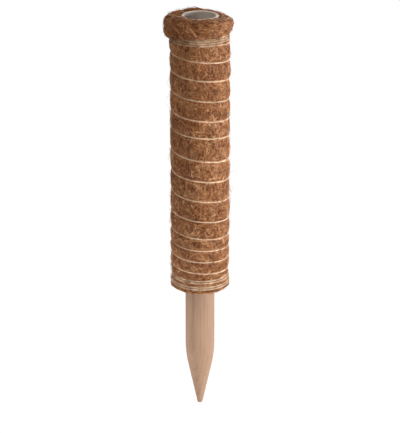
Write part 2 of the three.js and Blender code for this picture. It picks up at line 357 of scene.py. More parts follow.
def nail_steel():
    """Drawn steel wire, a little dull, with fine scratches along it."""
    material, tree, shader = new_material("nail_steel")
    scratch_place = drawn_out(tree, own_place(tree), NAIL_SCRATCH_DRAW, 1, 1)
    scratches = cloud(tree, scratch_place, scale=5000.0)
    colour = ramp(tree, scratches, (0.3, srgb(168, 168, 170)), (0.7, srgb(205, 205, 206)))
    set_inputs(tree, shader, {"Base Color": colour, "Roughness": 0.35, "Metallic": 1.0})
    return material


bright_wire = nail_steel()
for node in ("stake_nail_right", "stake_nail_left"):
    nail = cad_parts[node]
    nail.data.materials.clear()
    nail.data.materials.append(bright_wire)

# Winding
# The twine goes on last, and its turns press the grooves into the mat, so the line that it
# follows comes first. Each stretch is a number of turns and the height that one turn drops.

TWINE_RADIUS = 0.6 * MM
TWINE_SINK = 1.05 * MM
SEAT_GAP = 0.3 * MM
CLOSE_PITCH = 1.62 * MM
LASHING_TURNS = 3.6
LASHING_FLARE = 0.5 * MM
LASHING_FLARE_RUN = 4.0 * MM
SPIRAL_PITCH = 14.6 * MM
TURN_SHARES = (0.88, 0.93, 1.03, 1.01, 0.85, 1.22, 1.04, 1.05, 1.06, 0.91)
CLOSING_STRETCHES = ((3.5, 8.81 * MM), (1.5, CLOSE_PITCH), (0.5, 4.6 * MM), (1.9, CLOSE_PITCH))
WINDING_START_ANGLE = math.pi / 2
FOOT_FLARE = 1.2 * MM
FOOT_FLARE_HEIGHT = 14.0 * MM

twine_low, twine_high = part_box("twine")
winding_top = twine_high.z - TWINE_RADIUS
winding_foot = twine_low.z + TWINE_RADIUS
lashing_foot = winding_top - LASHING_TURNS * CLOSE_PITCH


def winding_stretches():
    """The lashing, one stretch for each turn of the spiral, and the stretches that close it."""
    ends = [(LASHING_TURNS, CLOSE_PITCH), *CLOSING_STRETCHES]
    run = winding_top - winding_foot - sum(turns * pitch for turns, pitch in ends)
    count = round(run / SPIRAL_PITCH)
    shares = [TURN_SHARES[turn % len(TURN_SHARES)] for turn in range(count)]
    spiral = [(1, run * share / sum(shares)) for share in shares]
    return [ends[0], *spiral, *ends[1:]]


stretches = winding_stretches()
turns_reached = np.cumsum([0] + [turns for turns, _ in stretches])
heights_reached = winding_top - np.cumsum([0] + [turns * pitch for turns, pitch in stretches])
turn_count = turns_reached[-1]


def winding_height(turn):
    return np.interp(turn, turns_reached, heights_reached)


def flare_at(height):
    """How much further out the mat and its twine stand at the foot and under the lashing."""
    foot = FOOT_FLARE * smooth(height, FOOT_FLARE_HEIGHT, 0)
    return foot + LASHING_FLARE * smooth(height, lashing_foot - LASHING_FLARE_RUN, lashing_foot)


# Coir mat
# A sheet of matted coconut fibre wrapped once round the tube. It swells into pillows between
# the turns of twine, and above the lashing it is free, a flared collar with a soft crown.

MAT_COLUMNS = 160
MAT_ROW = 0.55 * MM
MAT_NAP = 0.4 * MM
MAT_THICKNESS = 7.8 * MM
MAT_GAP = 0.3 * MM
PILLOW_RISE_PER_PITCH = 0.17
PILLOW_FULLNESS = 0.35
PRESSED_REACH = (0.7 * MM, 1.4 * MM)
CLEAR_OF_TWINE = 1.0 * MM
COLLAR_HEIGHT = 9.4 * MM
COLLAR_FLARE = 3.2 * MM
COLLAR_LEAN = 0.9 * MM
COLLAR_CROWN_WIDTH = 3.0 * MM
COLLAR_CROWN_DROP = 2.0 * MM
COLLAR_LIP_TUCK = 1.2 * MM
COLLAR_LIP_SWING = 1.0 * MM
COLLAR_LIP_DROOP = 2.6 * MM
COLLAR_LIP_CURVE = 1.5
COLLAR_NAP = 0.9 * MM
COLLAR_NECK_ROWS = 7
COLLAR_SIDE_ROWS = 13
COLLAR_BEND_ROWS = 11
COLLAR_TOP_ROWS = 8
CROWN_NAP = 1.3 * MM
CROWN_TILT = 0.8 * MM
CROWN_FRONT_RISE = 1.8 * MM
CROWN_FRONT_REACH = (0.0, 0.7)
CROWN_TUFT_RISE = 0.9 * MM
CROWN_TUFT_ANGLE = math.radians(100)
CROWN_TUFT_SPREAD = math.radians(13)
FOOT_EDGE_TUCK = 2.2 * MM
FOOT_FRINGE = 0.7 * MM
# Each kind of lump, in millimetres: its size, its rise where bound and its further rise where free
LUMPS = ((8.0, 0.3, 0.6), (3.2, 0.22, 0.25))
LUMP_FREE_RUN = 4.0 * MM
LUMP_BORE_RUN = 2.0 * MM
GROUND_STRAND_SHARE = 0.6
GROUND_PATCH_SHARE = 0.4
FREE = "coir_free"

mat_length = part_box("coir_mat")[1].z
mat_bore = tube_radius + MAT_GAP
crest_radius = mat_bore + MAT_THICKNESS
winding_radius = crest_radius - TWINE_SINK
seat_radius = winding_radius - TWINE_RADIUS - SEAT_GAP


def turns_about(angles, height):
    """The last turn of the winding above this height at each angle, and the next one below."""
    turn_share = ((angles - WINDING_START_ANGLE) / (2 * math.pi)) % 1
    reached = np.interp(-height, -heights_reached, turns_reached)
    above = np.floor(reached - turn_share) + turn_share
    return above, above + 1


def pillow_radius(angles, height):
    """The mat's radius at one height, by how far it lies between the turns above and below."""
    above, below = turns_about(angles, height)
    inside = (above >= 0) & (below <= turn_count)
    drop = winding_height(above) - winding_height(below)
    share = (winding_height(above) - height) / np.maximum(drop, CLOSE_PITCH)
    swell = np.minimum(crest_radius - MAT_NAP - seat_radius, PILLOW_RISE_PER_PITCH * drop)
    rise = swell * np.sin(math.pi * np.clip(share, 0, 1)) ** PILLOW_FULLNESS
    return seat_radius + flare_at(height) + np.where(inside, rise, 0)


def mat_freedom(angles, radii, heights):
    """How free the mat's fibres are at these places: 0 under the twine, 1 well away from it."""
    nearest = np.full(np.shape(heights), mat_length)
    for turn in turns_about(angles, heights):
        wound = (turn >= 0) & (turn <= turn_count)
        away = np.abs(winding_height(turn) - heights)
        nearest = np.minimum(nearest, np.where(wound, away, mat_length))
    outside = winding_radius + flare_at(heights) + TWINE_RADIUS
    beside = smooth(nearest, *PRESSED_REACH)
    return np.maximum(beside, smooth(radii, outside, outside + CLEAR_OF_TWINE))


def body_rows(angles):
    """The mat's section from its bore across the foot and up its outside to the lashing's top."""
    foot_edge = crest_radius + FOOT_FLARE - FOOT_EDGE_TUCK
    rows = [(mat_bore, 0.0), (0.5 * (mat_bore + foot_edge), 0.0), (foot_edge, 0.0)]
    rows.append((seat_radius + FOOT_FLARE + FOOT_FRINGE, FOOT_FRINGE))
    body_top = winding_top + TWINE_RADIUS + SEAT_GAP
    body = np.arange(2 * FOOT_FRINGE, body_top, MAT_ROW)
    return rows + [(pillow_radius(angles, height), height) for height in body]


def collar_rows(angles, foot):
    """The collar's section from this height: out to its lip, up its side and in over its crown."""
    right = np.cos(angles)
    droop = COLLAR_LIP_DROOP * np.maximum(0, -right) ** COLLAR_LIP_CURVE
    lip_height = mat_length - COLLAR_HEIGHT + SEAT_GAP - droop
    side = crest_radius + COLLAR_FLARE - COLLAR_LEAN * right - COLLAR_NAP
    lip = side - COLLAR_LIP_TUCK - COLLAR_LIP_SWING * right
    front = smooth(-np.sin(angles), *CROWN_FRONT_REACH)
    tuft = np.exp(-(((angles - CROWN_TUFT_ANGLE) / CROWN_TUFT_SPREAD) ** 2))
    crown_top = mat_length - CROWN_NAP - CROWN_TILT * right
    crown_top = crown_top + CROWN_FRONT_RISE * front + CROWN_TUFT_RISE * tuft
    crown_foot = crown_top - COLLAR_CROWN_DROP
    crown_edge = side - COLLAR_CROWN_WIDTH
    neck = seat_radius + LASHING_FLARE
    rows = []
    for t in steps_to(1, COLLAR_NECK_ROWS):
        rows.append((neck + (lip - neck) * t, foot + (lip_height - foot) * t))
    for t in steps_to(1, COLLAR_SIDE_ROWS):
        rows.append((lip + (side - lip) * t, lip_height + (crown_foot - lip_height) * t))
    for turn in steps_to(math.pi / 2, COLLAR_BEND_ROWS):
        radius = side - COLLAR_CROWN_WIDTH * (1 - math.cos(turn))
        rows.append((radius, crown_foot + COLLAR_CROWN_DROP * math.sin(turn)))
    for t in steps_to(1, COLLAR_TOP_ROWS):
        rows.append((crown_edge + (mat_bore - crown_edge) * t, crown_top))
    return rows


def lump_height(place):
    """How far matted fibre stands above or below its even surface, more so on the free collar."""
    free = max(0.0, min(1.0, (place.z - winding_top) / LUMP_FREE_RUN))
    rise = 0.0
    for size, bound, further in LUMPS:
        rise += (bound + further * free) * MM * noise.noise(place / (size * MM))
    return rise


def mat_mesh():
    """The mat as one closed ring, lumpy where it is free, with that freedom kept on its points."""
    angles = np.arange(MAT_COLUMNS) * 2 * math.pi / MAT_COLUMNS
    rows = body_rows(angles)
    rows += collar_rows(angles, rows[-1][1])
    radii = np.array([np.broadcast_to(radius, angles.shape) for radius, _ in rows])
    heights = np.array([np.broadcast_to(height, angles.shape) for _, height in rows])
    places = np.stack([radii * np.cos(angles), radii * np.sin(angles), heights], axis=-1)
    index = np.arange(radii.size).reshape(radii.shape)
    above = np.roll(index, -1, axis=0)
    quads = np.stack([index, np.roll(index, -1, axis=1), np.roll(above, -1, axis=1), above], axis=-1)
    mesh = bpy.data.meshes.new("coir_mat")
    mesh.from_pydata(places.reshape(-1, 3).tolist(), [], quads.reshape(-1, 4).tolist())
    mesh.shade_smooth()
    freedom = mat_freedom(np.broadcast_to(angles, heights.shape), radii, heights).ravel()
    mesh.attributes.new(FREE, "FLOAT", "POINT").data.foreach_set("value", freedom.astype(np.float32))
    outside = (radii.ravel() - mat_bore) / LUMP_BORE_RUN
    loose = freedom * np.clip(outside, 0, 1) * (heights.ravel() > FOOT_FRINGE)
    normals = [vertex.normal.copy() for vertex in mesh.vertices]
    for vertex, normal, share in zip(mesh.vertices, normals, loose):
        vertex.co += normal * lump_height(vertex.co) * float(share)
    return mesh


def coir_ground():
    """The dark matted fibre that shows between the strands of the nap."""
    material, tree, shader = new_material("coir_ground")
    place = own_place(tree)
    strands = cloud(tree, place, scale=1500.0, Detail=4.0, Distortion=2.0)
    patches = cloud(tree, place, scale=160.0, Detail=3.0)
    shade = calc(
        tree,
        "ADD",
        calc(tree, "MULTIPLY", strands, GROUND_STRAND_SHARE),
        calc(tree, "MULTIPLY", patches, GROUND_PATCH_SHARE),
    )
    colour = ramp(
        tree,
        shade,
        (0.34, srgb(63, 35, 20)),
        (0.5, srgb(113, 67, 39)),
        (0.66, srgb(170, 111, 67)),
    )
    relief = bumps(tree, strands, strength=0.8, distance=0.4 * MM)
    set_inputs(tree, shader, {"Base Color": colour, "Roughness": 0.95, "Normal": relief})
    return material


mat_surface = mat_mesh()
coir_mat = add_piece("coir_mat_felt", mat_surface, coir_ground(), "coir", "coir_mat")

# Coir nap
# The loose outer fibres of the mat: thousands of stiff curved strands that lie over each
# other on its surface, with a few that stand away from it.

# What a layer of fibres is asked for: where its roots are and how many, the strands' size, how
# far they stand off, how they turn, how many pass over the twine, and how their tone varies
FIBRE_NUMBERS = (
    "Low",
    "High",
    "Bore",
    "Density",
    "Shortest",
    "Longest",
    "Thickness",
    "Loft",
    "Arch",
    "Tip Lift",
    "Bend",
    "Swirl",
    "Spread",
    "Over Twine",
    "Patches",
    "Specks",
)
FIBRE_COUNTS = ("Steps", "Seed")
# Each random draw adds its place in this list to the layer's seed
FIBRE_DRAWS = ("heading", "reach", "tone", "loft", "arch", "lift", "bend", "sway", "over")
FIBRE_SIDES = 3
FIBRE_TONES = (0.1, 0.9)
FIBRE_SWAY = 0.35
FIBRE_WAVE = 0.25
LOFT_BIAS = 1.6
LIFT_BIAS = 4.0
LIFT_CURVE = 2.5
TAPER_END = 0.4
TAPER_GAIN = 0.6
TAPER_CURVE = 0.5
SWIRL_SCALE = 130.0
PATCH_SCALE = 190.0
SPECK_SCALE = 520.0
# The map that every strand carries, with tone across it and length up it
BAKE_MAP = "OFBake"
MAP_MARGIN = 0.01
MAP_TONE_SHARE = 0.94
MAP_SIDE_SHARE = 0.04
MAP_LENGTH_FOOT = 0.02
MAP_LENGTH_SHARE = 0.9
MAP_RIDGE_SHARE = 0.05


def vector(tree, operation, *values, **named):
    """The vector result of a Vector Math node."""
    inputs = dict(enumerate(values)) | named
    return wire(tree, "ShaderNodeVectorMath", inputs, operation=operation).outputs["Vector"]


def scaled(tree, direction, length):
    return vector(tree, "SCALE", direction, Scale=length)


def point_place(tree):
    """The place of each point."""
    return wire(tree, "GeometryNodeInputPosition").outputs[0]


def from_axis(tree, place):
    """The level way out from the pole's axis to these places, and its length."""
    level = vector(tree, "MULTIPLY", place, (1, 1, 0))
    distance = wire(tree, "ShaderNodeVectorMath", {0: level}, operation="LENGTH")
    return level, distance.outputs["Value"]


def keep(tree, geometry, name, value, kind="FLOAT", domain="POINT"):
    """The geometry with this value kept on it, under a name."""
    inputs = {"Geometry": geometry, "Name": name, "Value": value}
    node = wire(tree, "GeometryNodeStoreNamedAttribute", inputs, data_type=kind, domain=domain)
    return node.outputs[0]


def kept(tree, name, kind="FLOAT"):
    """The value that was kept under a name."""
    return wire(tree, "GeometryNodeInputNamedAttribute", {"Name": name}, data_type=kind).outputs[0]


def geometry_tree(name, numbers, counts=()):
    """A new tree that takes a geometry, these numbers and counts and a material, with its inputs."""
    tree = bpy.data.node_groups.new(name, "GeometryNodeTree")
    kinds = dict.fromkeys(numbers, "Float") | dict.fromkeys(counts, "Int")
    for label, kind in ({"Geometry": "Geometry"} | kinds | {"Material": "Material"}).items():
        tree.interface.new_socket(label, in_out="INPUT", socket_type=f"NodeSocket{kind}")
    tree.interface.new_socket("Geometry", in_out="OUTPUT", socket_type="NodeSocketGeometry")
    return tree, wire(tree, "NodeGroupInput").outputs


def map_across(tree, tone, side):
    """Where a strand lies across its map: by its tone, with a little width for its sides."""
    width = calc(tree, "MULTIPLY_ADD", side, MAP_SIDE_SHARE, MAP_MARGIN)
    return calc(tree, "MULTIPLY_ADD", tone, MAP_TONE_SHARE, width)


def give_tubes(tree, tubes, across, upwards, working, material):
    """Ends a tree: the tubes get their map and material, and lose these working values."""
    place = wire(tree, "ShaderNodeCombineXYZ", {"X": across, "Y": upwards}).outputs[0]
    tubes = keep(tree, tubes, BAKE_MAP, place, "FLOAT2", "CORNER")
    inputs = {"Geometry": tubes, "Name": working}
    tubes = wire(tree, "GeometryNodeRemoveAttribute", inputs, pattern_mode="WILDCARD").outputs[0]
    tubes = wire(tree, "GeometryNodeSetShadeSmooth", {"Geometry": tubes}).outputs[0]
    tubes = wire(tree, "GeometryNodeRealizeInstances", {"Geometry": tubes}).outputs[0]
    tubes = wire(tree, "GeometryNodeSetMaterial", {"Geometry": tubes, "Material": material}).outputs[0]
    wire(tree, "NodeGroupOutput", {"Geometry": tubes})


def fibre_roots(tree, given):
    """Points on the stretch of the surface that is asked for, with each strand's own values."""

    def chance(draw, low=0.0, high=1.0):
        seed = calc(tree, "ADD", given["Seed"], float(FIBRE_DRAWS.index(draw) + 1))
        inputs = {"Min": low, "Max": high, "Seed": seed}
        return wire(tree, "FunctionNodeRandomValue", inputs, data_type="FLOAT").outputs[1]

    def part_of(value, name):
        return calc(tree, "MULTIPLY", value, given[name])

    place = point_place(tree)
    height = wire(tree, "ShaderNodeSeparateXYZ", {"Vector": place}).outputs["Z"]
    level, distance = from_axis(tree, place)
    chosen = calc(tree, "GREATER_THAN", height, given["Low"])
    chosen = calc(tree, "MULTIPLY", chosen, calc(tree, "LESS_THAN", height, given["High"]))
    chosen = calc(tree, "MULTIPLY", chosen, calc(tree, "GREATER_THAN", distance, given["Bore"]))
    inputs = {"Mesh": given["Geometry"], "Selection": chosen}
    inputs |= {"Density": given["Density"], "Seed": given["Seed"]}
    roots = wire(tree, "GeometryNodeDistributePointsOnFaces", inputs)
    normal = roots.outputs["Normal"]
    around = vector(tree, "NORMALIZE", vector(tree, "CROSS_PRODUCT", (0, 0, 1), level))
    upright = vector(tree, "CROSS_PRODUCT", normal, around)

    swirl = cloud(tree, place, SWIRL_SCALE, Detail=1.0)
    drift = part_of(calc(tree, "SUBTRACT", swirl, 0.5), "Swirl")
    stray = part_of(chance("heading", -0.5, 0.5), "Spread")
    heading = calc(tree, "MULTIPLY", calc(tree, "ADD", drift, stray), 2 * math.pi)
    along = vector(
        tree,
        "ADD",
        scaled(tree, around, calc(tree, "COSINE", heading)),
        scaled(tree, upright, calc(tree, "SINE", heading)),
    )
    longer = calc(tree, "SUBTRACT", given["Longest"], given["Shortest"])
    longer = calc(tree, "MULTIPLY", chance("reach"), longer)
    places = {
        "fibre_root": place,
        "fibre_along": along,
        "fibre_across": vector(tree, "CROSS_PRODUCT", normal, along),
    }
    numbers = {
        "fibre_reach": calc(tree, "ADD", given["Shortest"], longer),
        "fibre_tone": chance("tone", *FIBRE_TONES),
        "fibre_loft": part_of(calc(tree, "POWER", chance("loft"), LOFT_BIAS), "Loft"),
        "fibre_arch": part_of(chance("arch"), "Arch"),
        "fibre_lift": part_of(calc(tree, "POWER", chance("lift"), LIFT_BIAS), "Tip Lift"),
        "fibre_bend": part_of(chance("bend", -1.0, 1.0), "Bend"),
        "fibre_sway": part_of(chance("sway", -FIBRE_SWAY, FIBRE_SWAY), "Bend"),
        "fibre_over": calc(tree, "LESS_THAN", chance("over"), given["Over Twine"]),
    }
    points = roots.outputs["Points"]
    for name, value in places.items():
        points = keep(tree, points, name, value, "FLOAT_VECTOR")
    for name, value in numbers.items():
        points = keep(tree, points, name, value)
    return points


def strand_share(tree):
    """How far along its strand a point lies, and an arch that is 0 at both ends and 1 midway."""
    share = wire(tree, "GeometryNodeSplineParameter").outputs["Factor"]
    return share, calc(tree, "SINE", calc(tree, "MULTIPLY", share, math.pi))


def level_strands(tree, share):
    """Where the points of each strand would lie on a level surface, bent to one side and the other."""
    middle = calc(tree, "SUBTRACT", share, 0.5)
    bow = calc(tree, "SUBTRACT", 0.5**2, calc(tree, "MULTIPLY", middle, middle))
    wave = calc(tree, "SINE", calc(tree, "MULTIPLY", middle, 2 * math.pi))
    sway = calc(tree, "MULTIPLY", kept(tree, "fibre_sway"), FIBRE_WAVE)
    sideways = calc(
        tree,
        "ADD",
        calc(tree, "MULTIPLY", bow, kept(tree, "fibre_bend")),
        calc(tree, "MULTIPLY", wave, sway),
    )
    reach = kept(tree, "fibre_reach")
    along = kept(tree, "fibre_along", "FLOAT_VECTOR")
    across = kept(tree, "fibre_across", "FLOAT_VECTOR")
    from_root = vector(
        tree,
        "ADD",
        scaled(tree, along, calc(tree, "MULTIPLY", middle, reach)),
        scaled(tree, across, calc(tree, "MULTIPLY", sideways, reach)),
    )
    return vector(tree, "ADD", kept(tree, "fibre_root", "FLOAT_VECTOR"), from_root)


def lying_strands(tree, given):
    """Where the points of each strand lie on the surface: arched off it where the mat is free."""
    surface = given["Geometry"]
    share, arched = strand_share(tree)
    level_place = level_strands(tree, share)

    def sampled(value, kind):
        inputs = {"Mesh": surface, "Value": value, "Sample Position": level_place}
        return wire(tree, "GeometryNodeSampleNearestSurface", inputs, data_type=kind).outputs[0]

    inputs = {"Geometry": surface, "Sample Position": level_place}
    nearest = wire(tree, "GeometryNodeProximity", inputs, target_element="FACES").outputs["Position"]
    outward = sampled(wire(tree, "GeometryNodeInputNormal").outputs[0], "FLOAT_VECTOR")
    free = calc(tree, "MAXIMUM", sampled(kept(tree, FREE), "FLOAT"), kept(tree, "fibre_over"))
    arch = calc(tree, "MULTIPLY", arched, kept(tree, "fibre_arch"))
    off = calc(tree, "MULTIPLY", calc(tree, "ADD", kept(tree, "fibre_loft"), arch), free)
    lift = calc(tree, "MULTIPLY", calc(tree, "POWER", share, LIFT_CURVE), kept(tree, "fibre_lift"))
    lying = vector(tree, "ADD", nearest, scaled(tree, outward, calc(tree, "ADD", off, lift)))
    level, distance = from_axis(tree, lying)
    short = calc(tree, "MAXIMUM", calc(tree, "SUBTRACT", given["Bore"], distance), 0.0)
    return vector(tree, "ADD", lying, scaled(tree, vector(tree, "NORMALIZE", level), short))


def fibre_lines(tree, given):
    """One line for each root, laid onto the surface, with a tone that varies along it."""
    line = wire(tree, "GeometryNodeCurvePrimitiveLine").outputs[0]
    line = wire(tree, "GeometryNodeResampleCurve", {"Curve": line, "Count": given["Steps"]}).outputs[0]
    inputs = {"Points": fibre_roots(tree, given), "Instance": line}
    strands = wire(tree, "GeometryNodeInstanceOnPoints", inputs).outputs[0]
    strands = wire(tree, "GeometryNodeRealizeInstances", {"Geometry": strands}).outputs[0]
    inputs = {"Geometry": strands, "Position": lying_strands(tree, given)}
    strands = wire(tree, "GeometryNodeSetPosition", inputs).outputs[0]
    tone = kept(tree, "fibre_tone")
    for scale, amount in ((PATCH_SCALE, "Patches"), (SPECK_SCALE, "Specks")):
        change = calc(tree, "SUBTRACT", cloud(tree, point_place(tree), scale, Detail=1.0), 0.5)
        tone = calc(tree, "MULTIPLY_ADD", change, given[amount], tone)
    return keep(tree, strands, "fibre_tone", wire(tree, "ShaderNodeClamp", {"Value": tone}).outputs[0])


def fibre_tree():
    """Strands over a surface: each starts as a straight line and is bent down onto the mesh.

    They are round, thinner towards their ends, with a map of tone across and length up.
    """
    tree, given = geometry_tree("coir_fibres", FIBRE_NUMBERS, FIBRE_COUNTS)
    share, arched = strand_share(tree)
    strands = keep(tree, fibre_lines(tree, given), "fibre_share", share)
    circle = {"Resolution": FIBRE_SIDES, "Radius": 0.5}
    ring = wire(tree, "GeometryNodeCurvePrimitiveCircle", circle).outputs[0]
    ring = keep(tree, ring, "fibre_side", share)
    fuller = calc(tree, "MULTIPLY", calc(tree, "POWER", arched, TAPER_CURVE), TAPER_GAIN)
    thickness = calc(tree, "MULTIPLY", calc(tree, "ADD", TAPER_END, fuller), given["Thickness"])
    inputs = {"Curve": strands, "Profile Curve": ring, "Scale": thickness, "Fill Caps": True}
    tubes = wire(tree, "GeometryNodeCurveToMesh", inputs).outputs[0]

    side = kept(tree, "fibre_side")
    across = map_across(tree, kept(tree, "fibre_tone"), side)
    ridge = calc(tree, "ABSOLUTE", calc(tree, "MULTIPLY_ADD", side, 2.0, -1.0))
    upwards = calc(tree, "MULTIPLY_ADD", ridge, MAP_RIDGE_SHARE, MAP_LENGTH_FOOT)
    upwards = calc(tree, "MULTIPLY_ADD", kept(tree, "fibre_share"), MAP_LENGTH_SHARE, upwards)
    give_tubes(tree, tubes, across, upwards, "fibre_*", given["Material"])
    return tree


def grown_mesh(name, source, tree, settings):
    """The plain mesh that a node tree makes from another mesh."""
    worker = bpy.data.objects.new(name, source)
    bpy.context.scene.collection.objects.link(worker)
    modifier = worker.modifiers.new(name, "NODES")
    modifier.node_group = tree
    for item in tree.interface.items_tree:
        if item.in_out == "INPUT" and item.name in settings:
            modifier[item.identifier] = settings[item.name]
    depsgraph = bpy.context.evaluated_depsgraph_get()
    mesh = bpy.data.meshes.new_from_object(
        worker.evaluated_get(depsgraph), preserve_all_data_layers=True, depsgraph=depsgraph
    )
    mesh.name = name
    bpy.data.objects.remove(worker)
    return mesh


def map_tone(tree):
    """The tone that a strand carries across its map."""
    place = wire(tree, "ShaderNodeUVMap", uv_map=BAKE_MAP).outputs["UV"]
    return wire(tree, "ShaderNodeSeparateXYZ", {"Vector": place}).outputs["X"]


def coir_strand():
    """Coconut fibre, from dark brown to straw, by the strand's own tone."""
    material, tree, shader = new_material("coir_strand")
    colour = ramp(
        tree,
        map_tone(tree),
        (0.0, srgb(75, 36, 15)),
        (0.3, srgb(142, 82, 43)),
        (0.62, srgb(202, 139, 87)),
        (1.0, srgb(250, 208, 158)),
    )
    set_inputs(tree, shader, {"Base Color": colour, "Roughness": 0.5, "Specular IOR Level": 0.4})
    return material


NAP_BANDS = 6
NAP_LOW = -1.0 * MM
NAP_HEADROOM = 4.0 * MM
NAP_BORE_GAP = 0.6 * MM
FOOT_BAND_TOP = 24 * MM
SEED_STEP = 20
NAP = {
    "Bore": mat_bore + NAP_BORE_GAP,
    "Density": 950_000.0,
    "Shortest": 6 * MM,
    "Longest": 14 * MM,
    "Thickness": 0.3 * MM,
    "Loft": 0.45 * MM,
    "Arch": 0.35 * MM,
    "Tip Lift": 0.6 * MM,
    "Bend": 1.2,
    "Swirl": 1.2,
    "Spread": 0.9,
    "Over Twine": 0.12,
    "Patches": 0.45,
    "Specks": 0.8,
    "Steps": 9,
    "Material": coir_strand(),
}
FREE_EDGE = NAP | {
    "Density": 1_250_000.0,
    "Longest": 17 * MM,
    "Loft": 0.8 * MM,
    "Arch": 0.6 * MM,
    "Tip Lift": 2.2 * MM,
    "Swirl": 0.5,
    "Spread": 0.3,
}
STRAY_HAIRS = NAP | {
    "Density": 50_000.0,
    "Shortest": 5 * MM,
    "Longest": 12 * MM,
    "Thickness": 0.15 * MM,
    "Arch": 1.4 * MM,
    "Tip Lift": 4.5 * MM,
    "Steps": 12,
}
fibres = fibre_tree()
collar_foot = winding_top + TWINE_RADIUS
nap_top = mat_length + NAP_HEADROOM
band_ends = [NAP_LOW, *np.linspace(FOOT_BAND_TOP, collar_foot, NAP_BANDS + 1)]
bands = zip(band_ends, band_ends[1:])
layers = [(f"coir_nap_{number}", *ends, NAP) for number, ends in enumerate(bands, start=1)]
layers.append(("coir_nap_collar", collar_foot, nap_top, FREE_EDGE))
layers.append(("coir_stray_hairs", NAP_LOW, nap_top, STRAY_HAIRS))
for number, (name, low, high, settings) in enumerate(layers):
    stretch = settings | {"Low": float(low), "High": float(high), "Seed": SEED_STEP * number}
    add_piece(name, grown_mesh(name, mat_surface, fibres, stretch), settings["Material"], "coir")

# Twine
# One length of pale twine, three plies laid together. It is lashed close under the collar,
# wound down the mat in an open spiral, and closed up at the foot; both ends are tucked in.

TWINE_NUMBERS = ("Radius", "Lay", "Step", "Slub Size", "Shaded Below", "Shaded Above", "End Shade")
TWINE_PLIES = 3
TWINE_FUZZ = 0.05 * MM
TWINE_TURN_STEPS = 72
PLY_SIDES = 5
PLY_LAY = 4.2 * MM
PLY_STEP = 0.6 * MM
PLY_RADIUS_SHARE = 0.46
SLUB_SWING = 0.3
SLUB_LEAST = 0.85
SOIL_SCALE = 200.0
SOIL_SHARE = 1.3
STREAK_SCALE = 1900.0
STREAK_TONE_SHARE = 0.7
TONE_SHIFT = -0.44
MAP_WAVE_STEPS = 6.0
MAP_WAVE_RISE = 0.15
MAP_WAVE_FOOT = 0.05
TAIL_BEND_RADIUS = 2.0 * MM
TAIL_LENGTH = 2.4 * MM
TAIL_STEPS = 8


def tucked_end(turn, way):
    """A quarter bend off the winding and a straight run into the mat, as points."""
    angle = WINDING_START_ANGLE + 2 * math.pi * turn
    out = np.array([math.cos(angle), math.sin(angle), 0])
    along = way * np.array([-out[1], out[0], 0])
    height = winding_height(turn)
    centre = out * (winding_radius + flare_at(height) - TAIL_BEND_RADIUS) + np.array([0, 0, height])
    bends = steps_to(math.pi / 2, TAIL_STEPS)
    points = [centre + TAIL_BEND_RADIUS * (out * math.cos(b) + along * math.sin(b)) for b in bends]
    return [*points, points[-1] - out * TAIL_LENGTH]


def twine_line():
    """The middle of the twine, from one tucked end to the other, as a mesh of edges."""
    turns = np.linspace(0, turn_count, round(turn_count * TWINE_TURN_STEPS) + 1)
    angles = WINDING_START_ANGLE + 2 * math.pi * turns
    heights = winding_height(turns)
    radii = winding_radius + flare_at(heights)
    wound = np.stack([radii * np.cos(angles), radii * np.sin(angles), heights], axis=1)
    points = [*reversed(tucked_end(0, -1)), *wound, *tucked_end(turn_count, 1)]
    mesh = bpy.data.meshes.new("twine_line")
    mesh.from_pydata([tuple(p) for p in points], [(i, i + 1) for i in range(len(points) - 1)], [])
    return mesh


def laid_plies(tree, given):
    """The line once for each ply, moved round in a helix, with the ply's radius and length kept."""
    line = wire(tree, "GeometryNodeMeshToCurve", {"Mesh": given["Geometry"]}).outputs[0]
    inputs = {"Curve": line, "Length": given["Step"]}
    line = wire(tree, "GeometryNodeResampleCurve", inputs, mode="LENGTH").outputs[0]
    inputs = {"Geometry": line, "Amount": TWINE_PLIES}
    plies = wire(tree, "GeometryNodeDuplicateElements", inputs, domain="SPLINE").outputs
    length = wire(tree, "GeometryNodeSplineParameter").outputs["Length"]
    tangent = wire(tree, "GeometryNodeInputTangent").outputs[0]
    sideways = vector(tree, "NORMALIZE", vector(tree, "CROSS_PRODUCT", tangent, (0, 0, 1)))
    upwards = vector(tree, "CROSS_PRODUCT", sideways, tangent)
    twist = calc(
        tree,
        "ADD",
        calc(tree, "DIVIDE", length, given["Lay"]),
        calc(tree, "DIVIDE", plies["Duplicate Index"], float(TWINE_PLIES)),
    )
    twist = calc(tree, "MULTIPLY", twist, 2 * math.pi)
    slub = cloud(tree, point_place(tree), calc(tree, "DIVIDE", 1.0, given["Slub Size"]))
    radius = calc(tree, "MULTIPLY", given["Radius"], PLY_RADIUS_SHARE)
    radius = calc(tree, "MULTIPLY", radius, calc(tree, "MULTIPLY_ADD", slub, SLUB_SWING, SLUB_LEAST))
    offset = calc(tree, "SUBTRACT", given["Radius"], radius)
    moved = vector(
        tree,
        "ADD",
        scaled(tree, sideways, calc(tree, "MULTIPLY", calc(tree, "COSINE", twist), offset)),
        scaled(tree, upwards, calc(tree, "MULTIPLY", calc(tree, "SINE", twist), offset)),
    )
    strands = keep(tree, plies["Geometry"], "ply_radius", radius)
    strands = keep(tree, strands, "ply_length", length)
    return wire(tree, "GeometryNodeSetPosition", {"Geometry": strands, "Offset": moved}).outputs[0]


